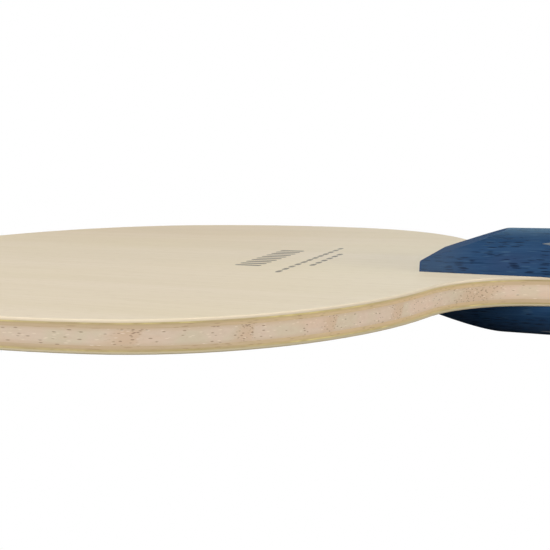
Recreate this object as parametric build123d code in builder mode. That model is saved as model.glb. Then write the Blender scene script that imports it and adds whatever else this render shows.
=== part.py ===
from build123d import *

import os
from math import cos, radians, sin, sqrt

# Bare table tennis blade: seven plies glued into one flat board, and a flared handle scale on each face.
#
# +X runs along the handle, from the tip of the head to the butt. +Y runs across the blade. +Z is the
# outward normal of the forehand face. The origin is the middle of the whole blade: half way along, on
# the centre line, at the middle of the core. Sizes are in millimetres.

# Overall sizes
OVERALL_LENGTH = 257.0
HEAD_LENGTH = 157.0  # from the tip to the front of the handle scales
HEAD_WIDTH = 150.0

# Outline of the head, as one chain of tangent arcs
WIDEST_FROM_TIP = 88.0
NOSE_RADIUS = 73.5
SHOULDER_START = radians(12.5)  # turn from square across at which the flank arc meets the shoulder arc
SHOULDER_RADIUS = 58.5
NECK_RADIUS = 22.5  # hollow between the shoulder and the handle

# Handle, seen from the face
FRONT_HALF_WIDTH = 12.0
NECK_HALF_WIDTH = 12.8
BUTT_HALF_WIDTH = 17.0
BUTT_ROUNDING = 2.6  # round the butt end, on the board's corners and the scales' edges alike

# Plies, from the core outwards
CORE = 2.78
INNER_PLY = 0.7
FIBRE_LAYER = 0.22
OUTER_PLY = 0.54
BOARD = CORE + 2 * (INNER_PLY + FIBRE_LAYER + OUTER_PLY)
EDGE_ROUNDING = 0.3  # sanded round the edge of both faces

# Handle scales. Each is glued into a shallow seat that is pressed into the outer ply.
SEAT_DEPTH = 0.1
SEAT_CLEARANCE = 0.04
SEAT_OPENS = 2.0  # how far in front of the neck the seat opens out to the full width of the board
NECK_CREST = 8.0  # height of the scale over the face, at the front and the neck
BUTT_CREST = 9.0
FRONT_STEP = 2.12  # height of the upright front edge
BACKHAND_FRONT_STEP = 1.8  # the backhand scale is sanded a little lower at the front
RAMP_SLOPE = radians(20.0)
RAMP_RADIUS = 8.0
FRONT_ROUNDING = 0.5  # on every edge of the front and the ramp that isn't glued down
SECTIONS_BEFORE_NECK = 2
SECTIONS_AFTER_NECK = 4
CUT_MARGIN = 1.0  # how far a cut runs past the piece it cuts

# Places along X
TIP = -OVERALL_LENGTH / 2
BUTT = OVERALL_LENGTH / 2
FRONT = TIP + HEAD_LENGTH
WIDEST = TIP + WIDEST_FROM_TIP

# Flank arc: tangent to the nose arc, and square across the blade at the widest place
half_width = HEAD_WIDTH / 2
nose_centre = Vector(TIP + NOSE_RADIUS, 0)
nose_to_widest = WIDEST - nose_centre.X
flank_radius = (NOSE_RADIUS**2 - half_width**2 - nose_to_widest**2) / (2 * (NOSE_RADIUS - half_width))
flank_centre = Vector(WIDEST, half_width - flank_radius)
nose_end = flank_centre + (nose_centre - flank_centre).normalized() * flank_radius

# Shoulder arc, and the hollow that takes it into the neck
shoulder_direction = Vector(sin(SHOULDER_START), cos(SHOULDER_START))
flank_end = flank_centre + shoulder_direction * flank_radius
shoulder_centre = flank_centre + shoulder_direction * (flank_radius - SHOULDER_RADIUS)
hollow_y = NECK_HALF_WIDTH + NECK_RADIUS
centre_distance = SHOULDER_RADIUS + NECK_RADIUS
NECK = shoulder_centre.X + sqrt(centre_distance**2 - (hollow_y - shoulder_centre.Y) ** 2)
hollow_centre = Vector(NECK, hollow_y)
shoulder_end = shoulder_centre + (hollow_centre - shoulder_centre).normalized() * SHOULDER_RADIUS

# Heights
face = BOARD / 2
seat = face - SEAT_DEPTH


def scale_half_width(x):
    """Half the width of the handle scales, as wide as the board behind the neck."""
    if x < NECK:
        return NECK_HALF_WIDTH - (NECK_HALF_WIDTH - FRONT_HALF_WIDTH) * ((NECK - x) / (NECK - FRONT)) ** 2
    return NECK_HALF_WIDTH + (BUTT_HALF_WIDTH - NECK_HALF_WIDTH) * ((x - NECK) / (BUTT - NECK)) ** 2


def scale_crest(x):
    """Height of the scale over its seat along the centre line, before the ramp is cut."""
    rise = max(0.0, (x - NECK) / (BUTT - NECK)) ** 2
    return SEAT_DEPTH + NECK_CREST + (BUTT_CREST - NECK_CREST) * rise


# Outline of the whole board, head and tang in one
with BuildSketch() as board_outline:
    with BuildLine():
        nose = TangentArc((TIP, 0), nose_end, tangent=(0, 1))
        flank = TangentArc(nose @ 1, flank_end, tangent=nose % 1)
        shoulder = TangentArc(flank @ 1, shoulder_end, tangent=flank % 1)
        hollow = TangentArc(shoulder @ 1, (NECK, NECK_HALF_WIDTH), tangent=shoulder % 1)
        flare = TangentArc(hollow @ 1, (BUTT, BUTT_HALF_WIDTH), tangent=hollow % 1)
        Line(flare @ 1, (BUTT, 0))
        mirror(about=Plane.XZ)
    make_face()
    butt_corners = board_outline.vertices().group_by(Axis.X)[-1].filter_by(lambda v: v.Y != 0)
    fillet(butt_corners, BUTT_ROUNDING)

# Room for a handle scale on the face of an outer ply. Behind the neck it takes the full width.
with BuildSketch() as seat_outline:
    seat_half_width = scale_half_width(FRONT) + SEAT_CLEARANCE
    seat_end = NECK - SEAT_OPENS
    with BuildLine():
        front_edge = Line((FRONT - SEAT_CLEARANCE, 0), (FRONT - SEAT_CLEARANCE, seat_half_width))
        side = TangentArc(
            (seat_end, scale_half_width(seat_end) + SEAT_CLEARANCE), front_edge @ 1, tangent=(-1, 0)
        )
        past_butt = BUTT + CUT_MARGIN
        Polyline(side @ 0, (seat_end, half_width), (past_butt, half_width), (past_butt, 0))
        mirror(about=Plane.XZ)
    make_face()

os.makedirs("parts", exist_ok=True)


def export(piece, name):
    """Label a finished piece and write it to its own STEP file."""
    piece.label = name
    export_step(piece, f"parts/{name}.step")


# The five plies that lie between the outer ones
core_top = CORE / 2
inner_top = core_top + INNER_PLY
fibre_top = inner_top + FIBRE_LAYER
middle_plies = {
    "core_ply": (-core_top, core_top),
    "inner_ply_forehand": (core_top, inner_top),
    "fibre_layer_forehand": (inner_top, fibre_top),
    "inner_ply_backhand": (-inner_top, -core_top),
    "fibre_layer_backhand": (-fibre_top, -inner_top),
}
for name, (bottom, top) in middle_plies.items():
    with BuildPart() as ply:
        with BuildSketch(Plane.XY.offset(bottom)):
            add(board_outline.sketch)
        extrude(amount=top - bottom)
    export(ply.part, name)

# Outer ply of the forehand face, with the seat for its scale
with BuildPart() as outer_ply_forehand:
    with BuildSketch(Plane.XY.offset(fibre_top)):
        add(board_outline.sketch)
    extrude(amount=OUTER_PLY)
    fillet(outer_ply_forehand.edges().group_by(Axis.Z)[-1], EDGE_ROUNDING)
    with BuildSketch(Plane.XY.offset(seat)):
        add(seat_outline.sketch)
    extrude(amount=SEAT_DEPTH + CUT_MARGIN, mode=Mode.SUBTRACT)
export(outer_ply_forehand.part, "outer_ply_forehand")


def build_scale(front_step):
    """Scale of the forehand face: half an ellipse across, flared along the handle, with a ramp in front."""
    with BuildPart() as scale:
        before_neck = [FRONT + (NECK - FRONT) * i / SECTIONS_BEFORE_NECK for i in range(SECTIONS_BEFORE_NECK)]
        after_neck = [NECK + (BUTT - NECK) * i / SECTIONS_AFTER_NECK for i in range(SECTIONS_AFTER_NECK + 1)]
        for x in before_neck + after_neck:
            with BuildSketch(Plane.YZ.offset(x)):
                with BuildLine():
                    arch = EllipticalCenterArc((0, seat), scale_half_width(x), scale_crest(x), arc_size=180)
                    Line(arch @ 1, arch @ 0)
                make_face()
        loft()
        crest = seat + scale_crest(FRONT)
        ramp_foot = face + front_step
        rounding_rise = RAMP_RADIUS * (1 - cos(RAMP_SLOPE))
        rounding_start = crest - rounding_rise
        rounding_x = FRONT + (rounding_start - ramp_foot) / sin(RAMP_SLOPE) * cos(RAMP_SLOPE)
        ramp_end = rounding_x + RAMP_RADIUS * sin(RAMP_SLOPE)
        before_front = FRONT - CUT_MARGIN
        above_crest = crest + CUT_MARGIN
        with BuildSketch(Plane.XZ):
            with BuildLine():
                ramp = Line((FRONT, ramp_foot), (rounding_x, rounding_start))
                rounding = TangentArc(ramp @ 1, (ramp_end, crest), tangent=ramp % 1)
                Polyline(
                    rounding @ 1,
                    (ramp_end, above_crest),
                    (before_front, above_crest),
                    (before_front, ramp_foot),
                    ramp @ 0,
                )
            make_face()
        extrude(amount=HEAD_WIDTH, both=True, mode=Mode.SUBTRACT)
        free_edges = scale.edges().filter_by(lambda edge: edge.center().Z > face)
        front_edges = free_edges.filter_by(lambda edge: edge.center().X < NECK)
        butt_edge = free_edges.group_by(Axis.X)[-1]
        fillet(front_edges, FRONT_ROUNDING)
        fillet(butt_edge, BUTT_ROUNDING)
    return scale.part


export(build_scale(FRONT_STEP), "handle_scale_forehand")

# The backhand side mirrors the forehand side, apart from the height of the front step
with BuildPart() as outer_ply_backhand:
    mirror(outer_ply_forehand.part, about=Plane.XY)
export(outer_ply_backhand.part, "outer_ply_backhand")

backhand_scale = build_scale(BACKHAND_FRONT_STEP)
with BuildPart() as handle_scale_backhand:
    mirror(backhand_scale, about=Plane.XY)
export(handle_scale_backhand.part, "handle_scale_backhand")
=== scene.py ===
import math

import bmesh
import bpy
from mathutils import Matrix, Vector
from mathutils.bvhtree import BVHTree


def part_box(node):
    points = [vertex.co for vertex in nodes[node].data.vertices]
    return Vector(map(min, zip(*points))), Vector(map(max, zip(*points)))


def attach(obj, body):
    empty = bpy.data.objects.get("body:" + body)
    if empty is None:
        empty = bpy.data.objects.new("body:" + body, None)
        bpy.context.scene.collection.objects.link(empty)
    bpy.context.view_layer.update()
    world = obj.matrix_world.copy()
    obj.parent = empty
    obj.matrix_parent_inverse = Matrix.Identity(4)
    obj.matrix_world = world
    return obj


# Looks of a bare table tennis blade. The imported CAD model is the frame: seven plies and two handle
# scales. This script gives each its material, adds the printed marks and the foil lines, and sets up a
# pale floor, soft light and the camera. Lengths are in metres, and sizes that read better in
# millimetres are multiplied by MM.
MM = 0.001

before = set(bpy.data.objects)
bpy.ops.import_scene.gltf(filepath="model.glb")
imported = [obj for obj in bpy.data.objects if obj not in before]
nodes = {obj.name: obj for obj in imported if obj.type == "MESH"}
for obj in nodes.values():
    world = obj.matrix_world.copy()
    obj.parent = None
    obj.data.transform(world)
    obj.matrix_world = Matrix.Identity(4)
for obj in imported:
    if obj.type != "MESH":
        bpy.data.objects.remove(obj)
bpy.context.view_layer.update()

# Heights of the two faces, and of the tops of the forehand fibre layer and the core
face_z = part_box("outer_ply_forehand")[1].z
back_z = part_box("outer_ply_backhand")[0].z
fibre_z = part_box("fibre_layer_forehand")[1].z
core_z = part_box("core_ply")[1].z

# Places along the blade
tip_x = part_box("core_ply")[0].x
butt_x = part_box("core_ply")[1].x
scale_front_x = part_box("handle_scale_forehand")[0].x

# Where the tints of the edge and the handle change, in millimetres behind the front of the scales. These
# tints are painted light and shade.
SHOULDER_START = -24.0
SHOULDER_END = -4.0
FACE_NECK_SHADE = (12.0, 17.0)
FIBRE_NECK_SHADE = (12.0, 24.0)
INNER_PLY_NECK_SHADE = (11.0, 20.0)
HANDLE_FRONT_LIGHT = (12.0, 4.0)


# ---------------------------------------------------------------------------------------------------
# Node helpers


def add(tree, kind, inputs=None, **settings):
    """Add a node and return its first output. A socket given as an input is linked, a value is set."""
    node = tree.nodes.new(kind)
    for name, value in settings.items():
        setattr(node, name, value)
    for key, value in (inputs or {}).items():
        if isinstance(value, bpy.types.NodeSocket):
            tree.links.new(value, node.inputs[key])
        else:
            node.inputs[key].default_value = value
    return node.outputs[0]


def calculate(tree, operation, first, second=0.0):
    """A math node on one or two values."""
    return add(tree, "ShaderNodeMath", {0: first, 1: second}, operation=operation)


def part_of(tree, value, share):
    """A mask, weakened to a share of itself."""
    return calculate(tree, "MULTIPLY", value, share)


def fade(tree, value, start, end, low=0.0, high=1.0):
    """Smooth step: low where value is at start or before, high where it is at end or past it."""
    inputs = {"Value": value, "From Min": start, "From Max": end, "To Min": low, "To Max": high}
    return add(tree, "ShaderNodeMapRange", inputs, interpolation_type="SMOOTHSTEP")


def blend(tree, share, first, second, mode="MIX"):
    """Mix two colours; share is how much of the second one there is."""
    node = tree.nodes.new("ShaderNodeMix")
    node.data_type = "RGBA"
    node.blend_type = mode
    sockets = {"Factor_Float": share, "A_Color": first, "B_Color": second}
    for socket in node.inputs:
        if socket.identifier in sockets:
            value = sockets[socket.identifier]
            if isinstance(value, bpy.types.NodeSocket):
                tree.links.new(value, socket)
            else:
                socket.default_value = value if socket.identifier == "Factor_Float" else (*value, 1.0)
    return next(o for o in node.outputs if o.identifier == "Result_Color")


def place(tree):
    """The shaded point's place on the blade, in metres."""
    return add(tree, "ShaderNodeNewGeometry")


def split(tree, vector):
    """The x, y and z of a vector."""
    node = tree.nodes.new("ShaderNodeSeparateXYZ")
    tree.links.new(vector, node.inputs[0])
    return node.outputs


def sized(tree, point, size):
    """Scale a place so that one unit is as long, wide and thick as size says, in metres."""
    factors = [1.0 / s for s in size]
    return add(tree, "ShaderNodeVectorMath", {0: point, 1: factors}, operation="MULTIPLY")


def grain(tree, point, size, detail=2.0, roughness=0.5):
    """Noise from 0 to 1 with features about as long, wide and thick as size says."""
    inputs = {"Vector": sized(tree, point, size), "Scale": 1.0, "Detail": detail, "Roughness": roughness}
    return add(tree, "ShaderNodeTexNoise", inputs)


def pores(tree, point, spacing, radius, share, core=0.45):
    """Long pores, one at most in each cell of the spacing: 1 in their core and 0 outside."""
    node = tree.nodes.new("ShaderNodeTexVoronoi")
    tree.links.new(sized(tree, point, spacing), node.inputs["Vector"])
    node.inputs["Scale"].default_value = 1.0
    inside = fade(tree, node.outputs["Distance"], radius, core * radius)
    chosen = calculate(tree, "LESS_THAN", split(tree, node.outputs["Color"])[0], share)
    return calculate(tree, "MULTIPLY", inside, chosen)


def warped(tree, point, size, amount):
    """Shift a place by up to about half of amount each way, by noise with features of that size."""
    node = tree.nodes.new("ShaderNodeTexNoise")
    tree.links.new(sized(tree, point, size), node.inputs["Vector"])
    node.inputs["Scale"].default_value = 1.0
    node.inputs["Detail"].default_value = 1.0
    centred = add(
        tree, "ShaderNodeVectorMath", {0: node.outputs["Color"], 1: (0.5, 0.5, 0.5)}, operation="SUBTRACT"
    )
    shift = add(tree, "ShaderNodeVectorMath", {0: centred, 1: amount}, operation="MULTIPLY")
    return add(tree, "ShaderNodeVectorMath", {0: point, 1: shift}, operation="ADD")


def along_blade(tree, point, start, end):
    """0 at start and 1 at end, both in millimetres behind the front of the handle scales."""
    return fade(tree, split(tree, point)[0], scale_front_x + start * MM, scale_front_x + end * MM)


def paint_light_along(tree, point, colour, on_head, on_shoulder):
    """Multiply a colour by one tint on the head and by another from the shoulder to the handle: painted
    light and shade along the edge.
    """
    shoulder = along_blade(tree, point, SHOULDER_START, SHOULDER_END)
    return blend(tree, 1.0, colour, blend(tree, shoulder, on_head, on_shoulder), "MULTIPLY")


def start_material(name, roughness, specular):
    """A material with its tree, its shader and the place of the shaded point."""
    material = bpy.data.materials.new(name)
    material.use_nodes = True
    tree = material.node_tree
    shader = tree.nodes["Principled BSDF"]
    shader.inputs["Roughness"].default_value = roughness
    shader.inputs["Specular IOR Level"].default_value = specular
    return material, tree, shader, place(tree)


def raise_surface(tree, shader, height, distance):
    """Bump: height 1 stands distance over height 0."""
    bump = add(tree, "ShaderNodeBump", {"Height": height, "Distance": distance, "Strength": 1.0})
    tree.links.new(bump, shader.inputs["Normal"])


# ---------------------------------------------------------------------------------------------------
# Materials. Colours are linear. Sizes of noise features and spacings of pores are in metres, given along
# the handle, across the blade and through it.


def face_veneer():
    """Pale, fine veneer of the two faces, with its straight grain along the handle."""
    material, tree, shader, point = start_material("face_veneer_wood", 0.55, 0.06)
    bent = warped(tree, point, (0.12, 0.03, 0.03), (0.0, 0.004, 0.0))
    bands = grain(tree, bent, (0.30, 0.0065, 0.006), 2.0)
    fibres = grain(tree, bent, (0.022, 0.00045, 0.0004), 3.0, 0.6)
    clouds = grain(tree, point, (0.07, 0.035, 0.03), 1.0)
    fine_pores = pores(tree, bent, (0.0045, 0.0006, 0.0006), 0.3, 0.6)

    colour = blend(tree, fade(tree, bands, 0.30, 0.70), (0.735, 0.640, 0.488), (0.765, 0.668, 0.528))
    colour = blend(tree, fade(tree, clouds, 0.35, 0.75, 0.0, 0.5), colour, (0.745, 0.650, 0.465))
    colour = blend(tree, fade(tree, fibres, 0.35, 0.70, 0.0, 0.35), colour, (0.680, 0.580, 0.425))
    # Painted shade: the face is made darker and yellower towards its far side (+Y), as the light falls off
    # across it
    far_side_shade = fade(tree, split(tree, point)[1], 0.0, 60.0 * MM)
    shaded_yellower = blend(tree, 1.0, colour, (0.975, 0.945, 0.915), "MULTIPLY")
    colour = blend(tree, far_side_shade, colour, shaded_yellower)
    colour = blend(tree, part_of(tree, fine_pores, 0.22), colour, (0.52, 0.42, 0.29))

    # The sanded edge is bare and pale on the forehand side. Towards the backhand face it is darker, which
    # is painted shade, as little light reaches the lower edge. Next to the fibre it is stained with resin.
    geometry = tree.nodes.new("ShaderNodeNewGeometry")
    facing = calculate(tree, "ABSOLUTE", split(tree, geometry.outputs["True Normal"])[2])
    on_edge = fade(tree, facing, 0.97, 0.75)
    height = split(tree, point)[2]
    low_side = fade(tree, height, 0.0, back_z + 0.6 * MM)
    colour = blend(tree, part_of(tree, on_edge, 0.8), colour, (0.660, 0.555, 0.410))
    # Painted shade: the edge darker from the neck on, where it lies between the handle scales
    neck_shade = calculate(tree, "MULTIPLY", along_blade(tree, point, *FACE_NECK_SHADE), on_edge)
    colour = blend(tree, part_of(tree, neck_shade, 0.8), colour, (0.530, 0.440, 0.320))
    # Painted shade: the edge darker towards the backhand face
    underside_shade = calculate(tree, "MULTIPLY", on_edge, low_side)
    colour = blend(tree, part_of(tree, underside_shade, 0.85), colour, (0.500, 0.425, 0.270))
    from_middle = calculate(tree, "ABSOLUTE", height)
    resin = fade(tree, from_middle, fibre_z + 0.14 * MM, fibre_z + 0.04 * MM)
    resin = calculate(tree, "MULTIPLY", resin, on_edge)
    colour = blend(tree, part_of(tree, resin, 0.4), colour, (0.440, 0.350, 0.170))
    tree.links.new(colour, shader.inputs["Base Color"])
    tree.links.new(fade(tree, fibres, 0.2, 0.8, 0.50, 0.62), shader.inputs["Roughness"])
    relief = calculate(tree, "SUBTRACT", part_of(tree, fibres, 0.35), fine_pores)
    raise_surface(tree, shader, relief, 0.012 * MM)
    return material


def fibre_sheet():
    """Woven fibre in resin, seen as a thin olive line in the edge. Painted light makes the line lighter
    from the shoulder on, and painted shade makes it darkest at the neck.
    """
    material, tree, shader, point = start_material("fibre_sheet", 0.6, 0.25)
    tows = grain(tree, point, (0.0035, 0.0035, 0.0009), 2.0, 0.6)
    stretches = grain(tree, point, (0.014, 0.014, 0.02), 1.0)
    colour = blend(tree, fade(tree, tows, 0.35, 0.65), (0.430, 0.340, 0.155), (0.590, 0.490, 0.215))
    colour = blend(tree, fade(tree, stretches, 0.35, 0.7, 0.0, 0.6), colour, (0.40, 0.30, 0.19))
    # Painted light: the line lighter from the shoulder to the handle
    colour = paint_light_along(tree, point, colour, (1.0, 1.0, 1.0), (1.18, 1.18, 1.18))
    # Painted shade: the line darker at the neck, between the handle scales
    neck_shade = along_blade(tree, point, *FIBRE_NECK_SHADE)
    colour = blend(tree, part_of(tree, neck_shade, 0.8), colour, (0.340, 0.255, 0.115))
    tree.links.new(colour, shader.inputs["Base Color"])
    raise_surface(tree, shader, tows, 0.01 * MM)
    return material


def inner_veneer():
    """Tan veneer between the fibre and the core, with brown streaks and resin next to the fibre."""
    material, tree, shader, point = start_material("inner_veneer_wood", 0.6, 0.2)
    bent = warped(tree, point, (0.02, 0.02, 0.004), (0.0, 0.0, 0.0003))
    fibres = grain(tree, bent, (0.009, 0.0014, 0.00022), 3.0, 0.6)
    stretches = grain(tree, point, (0.009, 0.006, 0.01), 1.5)
    streaks = pores(tree, bent, (0.0045, 0.0011, 0.00028), 0.35, 0.5)
    colour = blend(tree, fade(tree, fibres, 0.3, 0.7), (0.560, 0.428, 0.280), (0.495, 0.374, 0.235))
    colour = blend(tree, fade(tree, stretches, 0.40, 0.65, 0.0, 0.7), colour, (0.550, 0.405, 0.262))
    from_middle = calculate(tree, "ABSOLUTE", split(tree, point)[2])
    resin = fade(tree, from_middle, fibre_z - 0.60 * MM, fibre_z - 0.25 * MM)
    colour = blend(tree, part_of(tree, resin, 0.8), colour, (0.475, 0.364, 0.193))
    # Painted light: the veneer's edge darker on the head and lighter from the shoulder to the handle
    colour = paint_light_along(tree, point, colour, (0.95, 0.95, 0.95), (1.14, 1.12, 1.03))
    # Painted shade: darker at the neck, between the handle scales
    neck_shade = along_blade(tree, point, *INNER_PLY_NECK_SHADE)
    colour = blend(tree, part_of(tree, neck_shade, 0.8), colour, (0.510, 0.380, 0.245))
    colour = blend(tree, part_of(tree, streaks, 0.5), colour, (0.33, 0.22, 0.12))
    tree.links.new(colour, shader.inputs["Base Color"])
    tree.links.new(fade(tree, fibres, 0.2, 0.8, 0.55, 0.68), shader.inputs["Roughness"])
    raise_surface(tree, shader, fibres, 0.012 * MM)
    return material


PITH_DEPTH = 12.0 * MM  # from the middle of the core down to the heart of the log
RING_AREA = 1129.0 * MM * MM  # each ring adds as much to the square of the radius
RING_START = 0.67  # part of a ring at the heart


def core_wood():
    """Light ring-porous core, darker by the glue. The early wood of each ring is warm and porous."""
    material, tree, shader, point = start_material("core_wood", 0.62, 0.2)
    bent = warped(tree, point, (0.03, 0.006, 0.006), (0.0, 0.0012, 0.0))
    across, up = split(tree, bent)[1:3]
    from_pith = calculate(tree, "ADD", up, PITH_DEPTH)
    across_squared = calculate(tree, "MULTIPLY", across, across)
    depth_squared = calculate(tree, "MULTIPLY", from_pith, from_pith)
    radius_squared = calculate(tree, "ADD", across_squared, depth_squared)
    rings = calculate(tree, "ADD", calculate(tree, "DIVIDE", radius_squared, RING_AREA), RING_START)
    ring = calculate(tree, "FRACT", rings)
    early = calculate(tree, "MULTIPLY", fade(tree, ring, 0.0, 0.05), fade(tree, ring, 0.27, 0.13))

    fibres = grain(tree, bent, (0.008, 0.0006, 0.0006), 3.0, 0.6)
    patches = grain(tree, point, (0.0045, 0.0055, 0.0060), 1.5)
    warm = grain(tree, point, (0.010, 0.010, 0.0018), 2.0)

    early_pores = pores(tree, bent, (0.0015, 0.00042, 0.00030), 0.38, 0.85)
    late_pores = pores(tree, bent, (0.0022, 0.00075, 0.00045), 0.27, 0.55)
    pale_flecks = pores(tree, bent, (0.0019, 0.00085, 0.00037), 0.30, 0.55)
    in_early = calculate(tree, "MULTIPLY", early_pores, early)
    all_pores = calculate(tree, "MAXIMUM", in_early, late_pores)

    colour = blend(tree, fade(tree, patches, 0.38, 0.62), (0.640, 0.518, 0.402), (0.605, 0.522, 0.385))
    colour = blend(tree, fade(tree, warm, 0.45, 0.75, 0.0, 0.5), colour, (0.650, 0.480, 0.340))
    colour = blend(tree, fade(tree, fibres, 0.42, 0.75, 0.0, 0.3), colour, (0.55, 0.425, 0.30))
    colour = blend(tree, part_of(tree, early, 0.55), colour, (0.57, 0.405, 0.265))
    from_middle = calculate(tree, "ABSOLUTE", split(tree, point)[2])
    glue = fade(tree, from_middle, core_z - 0.70 * MM, core_z)
    colour = blend(tree, part_of(tree, glue, 0.7), colour, (0.560, 0.435, 0.300))
    colour = blend(tree, part_of(tree, pale_flecks, 0.6), colour, (0.760, 0.660, 0.520))
    # Painted light and shade: the core's edge a little darker on the head and lighter from the shoulder to
    # the handle
    colour = paint_light_along(tree, point, colour, (0.955, 0.945, 0.945), (1.05, 1.02, 1.02))
    colour = blend(tree, part_of(tree, all_pores, 0.60), colour, (0.21, 0.135, 0.085))
    tree.links.new(colour, shader.inputs["Base Color"])
    tree.links.new(fade(tree, fibres, 0.2, 0.8, 0.55, 0.70), shader.inputs["Roughness"])
    height = calculate(tree, "SUBTRACT", part_of(tree, fibres, 0.3), all_pores)
    raise_surface(tree, shader, height, 0.03 * MM)
    return material


def handle_wood():
    """Open-pored wood of the scales, stained dark blue and satin."""
    material, tree, shader, point = start_material("stained_handle_wood", 0.42, 0.14)
    bent = warped(tree, point, (0.04, 0.010, 0.010), (0.0, 0.0010, 0.0010))
    fibres = grain(tree, bent, (0.008, 0.00040, 0.00040), 2.0, 0.6)
    dark_streaks = grain(tree, bent, (0.011, 0.00042, 0.00042), 2.0, 0.5)
    bands = grain(tree, bent, (0.040, 0.0022, 0.0022), 2.0)
    clouds = grain(tree, point, (0.016, 0.008, 0.008), 1.0)
    clusters = fade(tree, grain(tree, point, (0.006, 0.0030, 0.0030), 1.0), 0.42, 0.52)
    long_pores = pores(tree, bent, (0.0026, 0.00028, 0.00028), 0.46, 0.65, 0.65)
    pale_streaks = pores(tree, bent, (0.0041, 0.00036, 0.00036), 0.34, 0.45)
    open_pores = calculate(tree, "MULTIPLY", long_pores, fade(tree, clusters, 0.0, 1.0, 0.10, 1.0))

    colour = blend(tree, fade(tree, bands, 0.35, 0.65), (0.0120, 0.044, 0.108), (0.0180, 0.055, 0.127))
    colour = blend(tree, fade(tree, clouds, 0.48, 0.72, 0.0, 0.5), colour, (0.026, 0.046, 0.105))
    colour = blend(tree, fade(tree, fibres, 0.50, 0.68, 0.0, 0.6), colour, (0.026, 0.070, 0.145))
    colour = blend(tree, fade(tree, dark_streaks, 0.42, 0.30, 0.0, 0.6), colour, (0.006, 0.026, 0.070))
    colour = blend(tree, part_of(tree, pale_streaks, 0.6), colour, (0.046, 0.098, 0.170))
    colour = blend(tree, part_of(tree, open_pores, 0.85), colour, (0.004, 0.012, 0.035))

    # The ramp and the front cut across the grain, so they are matt. Their colour is lightened as well,
    # which is painted light on the ramp.
    geometry = tree.nodes.new("ShaderNodeNewGeometry")
    end_grain_and_painted_light = fade(tree, split(tree, geometry.outputs["True Normal"])[0], -0.12, -0.30)
    # Painted light: the scale lighter and more purple over its first 12 millimetres, most at the front
    painted_front_light = along_blade(tree, point, *HANDLE_FRONT_LIGHT)
    colour = blend(tree, part_of(tree, painted_front_light, 0.55), colour, (0.046, 0.075, 0.126))
    # Painted light: the ramp and the front faces lighter
    colour = blend(tree, part_of(tree, end_grain_and_painted_light, 0.6), colour, (0.032, 0.060, 0.135))
    tree.links.new(colour, shader.inputs["Base Color"])
    tree.links.new(fade(tree, end_grain_and_painted_light, 0.0, 1.0, 0.14, 0.04), shader.inputs["Specular IOR Level"])
    polish = fade(tree, fibres, 0.2, 0.8, 0.36, 0.52)
    roughness = calculate(tree, "MAXIMUM", polish, part_of(tree, end_grain_and_painted_light, 0.7))
    tree.links.new(roughness, shader.inputs["Roughness"])
    height = calculate(tree, "SUBTRACT", part_of(tree, fibres, 0.2), open_pores)
    raise_surface(tree, shader, height, 0.035 * MM)
    return material


def printing_ink():
    """Thin grey-brown ink that has sunk into the grain here and there."""
    material, tree, shader, point = start_material("printing_ink", 0.6, 0.2)
    thin = grain(tree, point, (0.004, 0.0006, 0.0006), 2.0, 0.6)
    colour = blend(tree, fade(tree, thin, 0.35, 0.70), (0.200, 0.175, 0.140), (0.360, 0.315, 0.250))
    tree.links.new(colour, shader.inputs["Base Color"])
    raise_surface(tree, shader, thin, 0.004 * MM)
    return material


def silver_foil():
    """Dull silver foil stamped on the handle, worn a little over the open grain."""
    material, tree, shader, point = start_material("silver_foil", 0.4, 0.5)
    shader.inputs["Metallic"].default_value = 0.8
    worn = grain(tree, point, (0.006, 0.0005, 0.0005), 2.0, 0.6)
    colour = blend(tree, fade(tree, worn, 0.35, 0.75), (0.50, 0.53, 0.55), (0.30, 0.34, 0.38))
    tree.links.new(colour, shader.inputs["Base Color"])
    tree.links.new(fade(tree, worn, 0.3, 0.7, 0.30, 0.50), shader.inputs["Roughness"])
    raise_surface(tree, shader, worn, 0.01 * MM)
    return material


def floor_paper():
    """Matt grey paper."""
    material, _, shader, _ = start_material("floor_paper", 0.9, 0.1)
    shader.inputs["Base Color"].default_value = (0.25, 0.25, 0.25, 1.0)
    return material


# ---------------------------------------------------------------------------------------------------
# The CAD nodes take their materials

ply_materials = {
    "outer_ply": face_veneer(),
    "fibre_layer": fibre_sheet(),
    "inner_ply": inner_veneer(),
    "core_ply": core_wood(),
    "handle_scale": handle_wood(),
}
for name, node in nodes.items():
    for start, material in ply_materials.items():
        if name.startswith(start):
            node.material_slots[0].material = material


# ---------------------------------------------------------------------------------------------------
# New pieces


def make_piece(name, vertices, faces, material):
    """Make a mesh piece that rides with the blade."""
    mesh = bpy.data.meshes.new(name)
    mesh.from_pydata(vertices, [], faces)
    mesh.materials.append(material)
    mesh.update()
    piece = bpy.data.objects.new(name, mesh)
    bpy.context.scene.collection.objects.link(piece)
    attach(piece, "root")
    return piece


# Printed marks on the forehand face: a row of plain bars and two lines of dashes, all across the blade.
# Each mark is a closed film of ink with round ends.
INK_OVER = 0.012 * MM  # the film's top, over the face
INK_UNDER = 0.03 * MM  # its bottom, in the veneer
CORNER_STEPS = 6  # straight pieces in each rounded corner
BAR_LENGTH, BAR_WIDTH = 6.5 * MM, 1.5 * MM
DASH_LENGTH, DASH_WIDTH = 1.2 * MM, 2.5 * MM  # along the handle and across it
BAR_PITCH = 2.8 * MM
DASH_PITCH = 3.5 * MM


def ink_mark(x, y, length, width):
    """Outline of one mark around x, y; length is its size along X and width its size along Y."""
    radius = min(length, width) / 2
    outline = []
    for along, turn in ((1, -1), (1, 1), (-1, 1), (-1, -1)):
        start = math.atan2(turn, along) - math.pi / 4
        for i in range(CORNER_STEPS + 1):
            angle = start + math.pi / 2 * i / CORNER_STEPS
            corner = (x + along * (length / 2 - radius), y + turn * (width / 2 - radius))
            outline.append((corner[0] + radius * math.cos(angle), corner[1] + radius * math.sin(angle)))
    return outline


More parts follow.
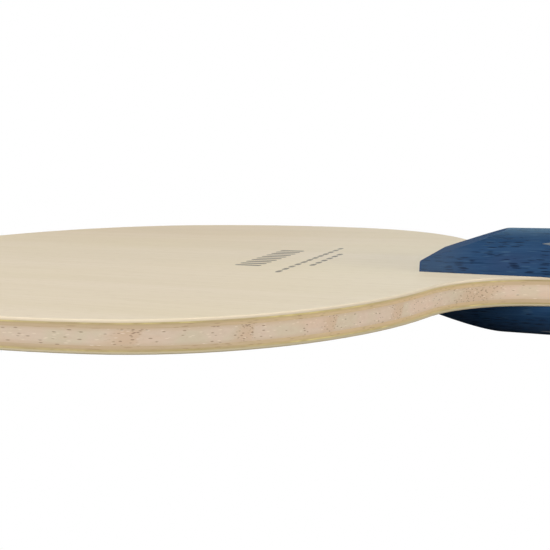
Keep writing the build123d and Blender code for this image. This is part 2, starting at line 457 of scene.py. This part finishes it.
def ink_row(name, x, half_span, pitch, length, width):
    """A row of equal marks across the blade, centred on the handle's line."""
    vertices, faces = [], []
    count = round(2 * half_span / pitch)
    for k in range(count):
        y = (k - (count - 1) / 2) * pitch
        outline = ink_mark(x, y, length, width)
        first, n = len(vertices), len(outline)
        vertices += [(px, py, face_z + INK_OVER) for px, py in outline]
        vertices += [(px, py, face_z - INK_UNDER) for px, py in outline]
        faces.append([first + i for i in range(n)])
        faces.append([first + 2 * n - 1 - i for i in range(n)])
        for i in range(n):
            j = (i + 1) % n
            faces.append([first + j, first + i, first + n + i, first + n + j])
    make_piece(name, vertices, faces, ink)


ink = printing_ink()
bars_x = scale_front_x - 38.8 * MM
long_row_x = scale_front_x - 28.2 * MM
short_row_x = scale_front_x - 24.6 * MM
ink_row("printed_bars", bars_x, 14.0 * MM, BAR_PITCH, BAR_LENGTH, BAR_WIDTH)
ink_row("printed_dashes_long", long_row_x, 21.0 * MM, DASH_PITCH, DASH_LENGTH, DASH_WIDTH)
ink_row("printed_dashes_short", short_row_x, 10.5 * MM, DASH_PITCH, DASH_LENGTH, DASH_WIDTH)


# Foil lines along both shoulders of each scale, pointed at both ends and laid on the scale's own surface
LINE_START = 23.6 * MM  # from the front of the scale
LINE_END = 7.0 * MM  # from the butt
LINE_HALF_WIDTH = 0.60 * MM
LINE_TAPER = 2.4 * MM
LINE_STEP = 1.2 * MM
LINE_CENTRE = 1.5 * MM  # over the face, on the centre plane: the line's angle is taken from here
LINE_ANGLE = math.radians(27.0)  # up from the face
FOIL_OVER = 0.02 * MM  # the strip's top, over the scale
FOIL_UNDER = 0.05 * MM  # its bottom, in the scale
POINT_WIDTH = 0.03  # of the full width, at the very ends
RING = 6  # points around the strip


def foil_line(name, scale_name, side, up):
    """One foil line as a closed strip: three points across its top and three across its bottom."""
    scale = nodes[scale_name]
    surface = BVHTree.FromPolygons(
        [v.co for v in scale.data.vertices], [p.vertices for p in scale.data.polygons]
    )
    start_x, end_x = scale_front_x + LINE_START, butt_x - LINE_END
    steps = round((end_x - start_x) / LINE_STEP)
    direction = Vector((0.0, side * math.cos(LINE_ANGLE), up * math.sin(LINE_ANGLE)))
    tangent = Vector((0.0, -side * math.sin(LINE_ANGLE), up * math.cos(LINE_ANGLE)))
    vertices, faces = [], []
    for i in range(steps + 1):
        x = start_x + (end_x - start_x) * i / steps
        taper = min(1.0, (x - start_x) / LINE_TAPER, (end_x - x) / LINE_TAPER)
        half_width = LINE_HALF_WIDTH * max(POINT_WIDTH, taper)
        inside = Vector((x, 0.0, up * (face_z + LINE_CENTRE)))
        hits = []
        for offset in (-half_width, 0.0, half_width):
            # Parallel rays from the inside keep the three points their offsets apart on the surface
            point, normal, _, _ = surface.ray_cast(inside + tangent * offset, direction)
            hits.append((point, normal if normal.dot(direction) > 0 else -normal))
        vertices += [point + normal * FOIL_OVER for point, normal in hits]
        vertices += [point - normal * FOIL_UNDER for point, normal in reversed(hits)]
    for i in range(steps):
        for k in range(RING):
            here, beside = i * RING + k, i * RING + (k + 1) % RING
            faces.append([here, beside, beside + RING, here + RING])
    faces.append(list(reversed(range(RING))))
    faces.append([steps * RING + k for k in range(RING)])
    strip = make_piece(name, vertices, faces, foil)
    editor = bmesh.new()
    editor.from_mesh(strip.data)
    bmesh.ops.recalc_face_normals(editor, faces=editor.faces)
    editor.to_mesh(strip.data)
    editor.free()


foil = silver_foil()
for face_name, up in (("forehand", 1), ("backhand", -1)):
    for side_name, side in (("left", -1), ("right", 1)):
        foil_line(f"foil_line_{face_name}_{side_name}", f"handle_scale_{face_name}", side, up)


# ---------------------------------------------------------------------------------------------------
# Floor, light and camera

# The blade lies on the end of its head and on the crest of the lower scale, just behind the ramp
TIP_ROUNDING = 0.3 * MM
FLOOR_GAP = 0.02 * MM
FLOOR_REACH = 2.0  # metres from the middle to each side
rest_x = tip_x + TIP_ROUNDING
lower_scale = nodes["handle_scale_backhand"].data
floor_slope = min((v.co.z - back_z) / (v.co.x - rest_x) for v in lower_scale.vertices)


def floor_z(x):
    """Height of the sloping floor under a place along the blade."""
    return back_z - FLOOR_GAP + floor_slope * (x - rest_x)


def make_floor(name):
    """A wide floor under the blade, on the stage."""
    corners = [(-FLOOR_REACH, -FLOOR_REACH), (FLOOR_REACH, -FLOOR_REACH)]
    corners += [(FLOOR_REACH, FLOOR_REACH), (-FLOOR_REACH, FLOOR_REACH)]
    mesh = bpy.data.meshes.new(name)
    mesh.from_pydata([(x, y, floor_z(x)) for x, y in corners], [], [(0, 1, 2, 3)])
    floor = bpy.data.objects.new(name, mesh)
    bpy.context.scene.collection.objects.link(floor)
    return floor


# The camera sees a floor and a backdrop of even white. The light comes from the world, the soft boxes and
# a grey floor at the same place, which the camera doesn't see.
def glowing_white(name):
    """An even white that takes no light and no shadow."""
    material = bpy.data.materials.new(name)
    material.use_nodes = True
    shader = material.node_tree.nodes["Principled BSDF"]
    shader.inputs["Base Color"].default_value = (0.0, 0.0, 0.0, 1.0)
    shader.inputs["Specular IOR Level"].default_value = 0.0
    shader.inputs["Emission Color"].default_value = (1.0, 1.0, 1.0, 1.0)
    shader.inputs["Emission Strength"].default_value = 1.0
    return material


def seen_by_camera_only(stage_object):
    """Keep a piece of the stage out of the light and the reflections."""
    stage_object.visible_diffuse = False
    stage_object.visible_glossy = False
    stage_object.visible_transmission = False
    stage_object.visible_shadow = False


white = glowing_white("studio_white")
floor = make_floor("floor")
floor.data.materials.append(white)
seen_by_camera_only(floor)

bounce = make_floor("floor_bounce")
bounce.data.materials.append(floor_paper())
bounce.visible_camera = False

BACKDROP_RADIUS = 3.0
BACKDROP_SEGMENTS = 48
backdrop_mesh = bpy.data.meshes.new("backdrop")
backdrop_maker = bmesh.new()
bmesh.ops.create_uvsphere(
    backdrop_maker, u_segments=BACKDROP_SEGMENTS, v_segments=BACKDROP_SEGMENTS // 2, radius=BACKDROP_RADIUS
)
backdrop_maker.to_mesh(backdrop_mesh)
backdrop_maker.free()
backdrop_mesh.materials.append(white)
backdrop = bpy.data.objects.new("backdrop", backdrop_mesh)
bpy.context.scene.collection.objects.link(backdrop)
seen_by_camera_only(backdrop)

scene = bpy.context.scene
scene.view_settings.view_transform = "Standard"

WHITE = (1.0, 1.0, 1.0)
SHEEN_BLUE = (0.45, 0.82, 1.0)
WORLD_STRENGTH = 0.24

world = bpy.data.worlds.new("studio")
world.use_nodes = True
background = world.node_tree.nodes["Background"]
background.inputs["Color"].default_value = (*WHITE, 1.0)
background.inputs["Strength"].default_value = WORLD_STRENGTH
scene.world = world


def soft_box(name, place, width, height, power, colour, mirrored):
    """A soft box that faces the middle of the blade. Mirrored, it acts on reflections only."""
    light_data = bpy.data.lights.new(name, "AREA")
    light_data.shape = "RECTANGLE"
    light_data.size = width
    light_data.size_y = height
    light_data.energy = power
    light_data.color = colour
    light = bpy.data.objects.new(name, light_data)
    scene.collection.objects.link(light)
    light.location = place
    light.rotation_euler = (-Vector(place)).to_track_quat("-Z", "Y").to_euler()
    light.visible_glossy = mirrored
    light.visible_diffuse = not mirrored


# Places and sizes are in metres, and powers in watts. The sheen box stands behind the handle, and gives
# its crest a blue sheen.
soft_box("soft_box_above", (0.00, -0.20, 0.80), 0.8, 0.8, 2.65, WHITE, False)
soft_box("soft_box_left", (-0.45, -0.80, 0.20), 0.4, 0.3, 4.0, WHITE, False)
soft_box("soft_box_left_high", (-0.40, -0.60, 0.60), 0.4, 0.4, 3.7, WHITE, False)
soft_box("soft_box_right", (1.00, -0.14, 0.11), 0.4, 0.3, 7.0, WHITE, False)
soft_box("soft_box_back", (-0.30, 0.85, 0.13), 0.5, 0.2, 1.3, WHITE, False)
soft_box("soft_box_sheen", (0.10, 0.85, 0.39), 1.0, 0.64, 2.15, SHEEN_BLUE, True)

# The camera is beside the handle, a little over the face, and looks across the blade towards its head
CAMERA_PLACE = Vector((67.07 * MM, -166.05 * MM, 27.83 * MM))
CAMERA_TURN = math.radians(24.76)  # to the left of straight across the blade
CAMERA_DIP = math.radians(9.069)  # below level
CAMERA_ROLL = math.radians(-1.548)
CAMERA_LENS = 50.43  # millimetres, as the sensor
SENSOR_WIDTH = 36.0
camera_data = bpy.data.cameras.new("camera")
camera_data.lens = CAMERA_LENS
camera_data.sensor_width = SENSOR_WIDTH
camera_data.clip_start = 5.0 * MM
camera = bpy.data.objects.new("camera", camera_data)
scene.collection.objects.link(camera)
camera.matrix_world = (
    Matrix.Translation(CAMERA_PLACE)
    @ Matrix.Rotation(CAMERA_TURN, 4, "Z")
    @ Matrix.Rotation(math.pi / 2 - CAMERA_DIP, 4, "X")
    @ Matrix.Rotation(CAMERA_ROLL, 4, "Z")
)
scene.camera = camera
